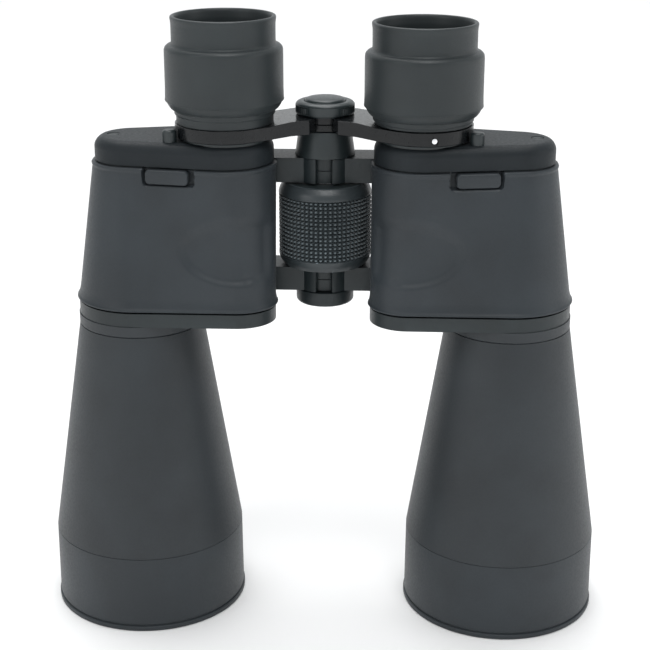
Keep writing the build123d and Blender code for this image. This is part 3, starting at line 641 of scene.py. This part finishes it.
def cap_grooves(r, z, angle):
    """Fine upright grooves on the cap's side, left and right; its front and back are smooth."""
    low, high = CAP_LOW + CAP_FOOT, CAP_HIGH - CAP_SHOULDER
    on_wall = r >= CAP_R - 0.2
    if not (on_wall and low < z < high):
        return r
    run_out = 0.4
    fade = smoothstep((z - low) / run_out) * smoothstep((high - z) / run_out)
    fade *= smoothstep((abs(math.cos(angle)) - 0.5) / 0.1)
    wave = triangle(angle * CAP_GROOVES / (2 * math.pi))
    return r - CAP_GROOVE_DEPTH * fade * (1 - wave**0.7)


def cap_profile():
    """Cap with a rounded top edge and a well for its disc."""
    low, high, inner = CAP_LOW, CAP_HIGH, 4.45
    rows = 10
    start, end = low + CAP_FOOT, high - CAP_SHOULDER
    side = [Vector((CAP_R, start + (end - start) * k / rows)) for k in range(rows + 1)]
    foot = softened([(inner, low, 0), (CAP_R - 0.35, low, 0.3), (CAP_R - 0.1, low + 0.5, 0.2)])
    top = softened([
        (CAP_R - 0.05, high - 1.1, 0.3), (CAP_R - 0.5, high - 0.45, 0.5), (CAP_R - 1.5, high, 0.5),
        (DISC_R + 0.25, high, 0.25), (DISC_R + 0.1, high - 0.8, 0), (inner, high - 0.8, 0),
    ])
    return foot + side + top


def dome_profile():
    """Shallow dome with a rounded edge; the last point is nearly on the axis."""
    low, rim = DISC_LOW, DISC_LOW + 1.2
    rise = DISC_HIGH - rim
    steps = 14
    start, end = 0.02, math.pi / 2 - 0.01
    dome = []
    for k in range(steps + 1):
        t = start + (end - start) * k / steps
        dome.append(Vector((DISC_R * 0.97 * math.cos(t), rim + rise * math.sin(t))))
    return [Vector((0.05, low)), Vector((DISC_R, low)), Vector((DISC_R, rim - 0.2)), *dome]


wheel = lathe("wheel_grip", wheel_profile(), 0, HINGE_Y, KNURL_COLUMNS * KNURL_STEPS, knurl)
new_piece("wheel_grip", wheel, WHEEL, "focus_wheel", ["focus_wheel_grip"], 28.0)
cap = lathe("cap_body", cap_profile(), 0, HINGE_Y, CAP_GROOVES * 8, cap_grooves)
new_piece("cap_body", cap, SATIN, "left_carriage", ["bridge_cap"])
dome = lathe("cap_dome", dome_profile(), 0, HINGE_Y, 96)
new_piece("cap_dome", dome, SATIN, "left_carriage", ["cap_disc"], 50.0)


# ---- CAD nodes that stay: softened edges and materials ----

WELD_MM = 0.002
BEVEL_FROM = 35.0             # degrees between two faces
NORMAL_WEIGHT = 60


def dress(node, material, edge):
    """Give a CAD node a material, edges rounded by edge millimetres, and clean shading."""
    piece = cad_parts[node]
    piece.data.materials.clear()
    piece.data.materials.append(material)
    piece.data.shade_smooth()
    weld = piece.modifiers.new("weld", "WELD")
    weld.merge_threshold = WELD_MM * MM
    if edge:
        bevel = piece.modifiers.new("bevel", "BEVEL")
        bevel.width = edge * MM
        bevel.segments = 3
        bevel.limit_method = "ANGLE"
        bevel.angle_limit = math.radians(BEVEL_FROM)
    normals = piece.modifiers.new("normals", "WEIGHTED_NORMAL")
    normals.keep_sharp = True
    normals.weight = NORMAL_WEIGHT


for side in ("left", "right"):
    for part, material, edge in (
        ("prism_housing", CASTING, 0.3), ("bottom_plate", CASTING, 0.7),
        ("top_cover", COVER, 0.3), ("eyepiece_guide", SATIN, 0.2), ("cover_screws", SATIN, 0.2),
        ("prism_shelf", FLOCK, 0.0), ("prism_clips", SPRING_STEEL, 0.0), ("tube_collar", SLEEVE, 0.05),
        ("lens_cell", SATIN, 0.2), ("retaining_ring", SATIN, 0.1), ("crown_lens", COATED, 0.0),
        ("flint_lens", CLEAR, 0.0), ("upper_prism", CLEAR, 0.0), ("lower_prism", CLEAR, 0.0),
        ("ocular_barrel", EYECUP, 0.2), ("field_lens", COATED, 0.0), ("eye_lens", COATED, 0.0),
        ("bridge_arm", ARM_BLACK_PAINTED_SHADE, 0.35),
    ):
        dress(f"{side}_{part}", material, edge)
for part, material, edge in (
    ("hinge_tube", BARE_METAL, 0.1), ("tripod_boss", CASTING, 0.3), ("tripod_insert", BRASS, 0.1),
    ("hinge_collar", SATIN, 0.3), ("focus_wheel_core", SATIN, 0.2), ("focus_shaft", BARE_METAL, 0.1),
    ("drive_pin", BARE_METAL, 0.1), ("ocular_sleeve", SATIN, 0.1), ("stop_screw", SCREW, 0.1),
):
    dress(part, material, edge)


# ---- Studio ----

def studio_surface(name, colour):
    """Pale matt surface with a barely visible mottle."""
    material, nodes, links, shader = node_tree(name)
    mottle = noise_factor(nodes, links, 6.0, 3.0)
    links.new(mixed(nodes, links, mottle, colour, scaled(colour, 0.985)), shader.inputs["Base Color"])
    shader.inputs["Roughness"].default_value = 0.9
    shader.inputs["Specular IOR Level"].default_value = 0.1
    return material


def soft_light(name, at, power):
    """Square area light, turned to the object."""
    light = bpy.data.lights.new(name, "AREA")
    light.size = LIGHT_SIZE
    light.energy = power
    lamp = bpy.data.objects.new(name, light)
    lamp.location = at
    lamp.rotation_euler = (Vector(LIGHT_TARGET) - Vector(at)).to_track_quat("-Z", "Y").to_euler()
    bpy.context.scene.collection.objects.link(lamp)


def floor_plane():
    """Large pale floor under the object."""
    mesh = bpy.data.meshes.new("floor")
    corners = [(x * FLOOR_HALF, y * FLOOR_HALF, 0) for x, y in ((-1, -1), (1, -1), (1, 1), (-1, 1))]
    mesh.from_pydata(corners, [], [(0, 1, 2, 3)])
    mesh.materials.append(studio_surface("floor", (0.9, 0.9, 0.9)))
    floor = bpy.data.objects.new("floor", mesh)
    floor.location.z = -FLOOR_GAP
    bpy.context.scene.collection.objects.link(floor)


def front_camera():
    """Camera in front of the object, looking down at it."""
    data = bpy.data.cameras.new("camera")
    data.lens = LENS_MM
    data.sensor_width = SENSOR_MM
    data.clip_start = 10 * MM
    camera = bpy.data.objects.new("camera", data)
    level = math.cos(CAMERA_PITCH)
    forward = Vector((math.sin(CAMERA_YAW) * level, math.cos(CAMERA_YAW) * level, -math.sin(CAMERA_PITCH)))
    turn = forward.to_track_quat("-Z", "Y").to_matrix() @ Matrix.Rotation(CAMERA_ROLL, 3, "Z")
    camera.matrix_world = Matrix.Translation(Vector(CAMERA_AT) * MM) @ turn.to_4x4()
    bpy.context.scene.collection.objects.link(camera)
    bpy.context.scene.camera = camera


def studio_sky():
    """Dim grey studio with a bright horizon, and a bright backdrop behind the object."""
    world = bpy.data.worlds.new("studio")
    world.use_nodes = True
    nodes, links = world.node_tree.nodes, world.node_tree.links
    direction = nodes.new("ShaderNodeSeparateXYZ")
    links.new(nodes.new("ShaderNodeTexCoord").outputs["Generated"], direction.inputs["Vector"])
    behind = ranged(nodes, links, direction.outputs["Y"], 0.25, 0.7, 0.0, 1.0)
    below = ranged(nodes, links, direction.outputs["Z"], 0.35, 0.62, 1.0, 0.0)
    horizon = ranged(nodes, links, direction.outputs["Z"], 0.04, 0.2, 1.0, 0.0)
    backdrop = combined(nodes, links, "MULTIPLY", behind, below)
    bright = combined(nodes, links, "MAXIMUM", backdrop, horizon)
    colour = mixed(nodes, links, bright, scaled(SKY, SKY_DIM), SKY)
    links.new(colour, nodes["Background"].inputs["Color"])
    bpy.context.scene.world = world


def sun(name, towards, angle_deg, strength):
    """Very soft distant light, shining along a direction."""
    light = bpy.data.lights.new(name, "SUN")
    light.angle = math.radians(angle_deg)
    light.energy = strength
    lamp = bpy.data.objects.new(name, light)
    lamp.rotation_euler = Vector(towards).to_track_quat("-Z", "Y").to_euler()
    bpy.context.scene.collection.objects.link(lamp)


studio_sky()
bpy.context.scene.view_settings.view_transform = "Standard"

floor_plane()
sun("overhead", (0.1, -0.35, -1.0), 45.0, 2.0)
for name, at, power in (
    ("key", (-1.2, -1.1, 0.9), 4.0),
    ("top", (0.1, -0.55, 1.5), 9.0),
    ("side", (1.4, -0.3, 0.7), 3.0),
):
    soft_light(name, at, power)
front_camera()
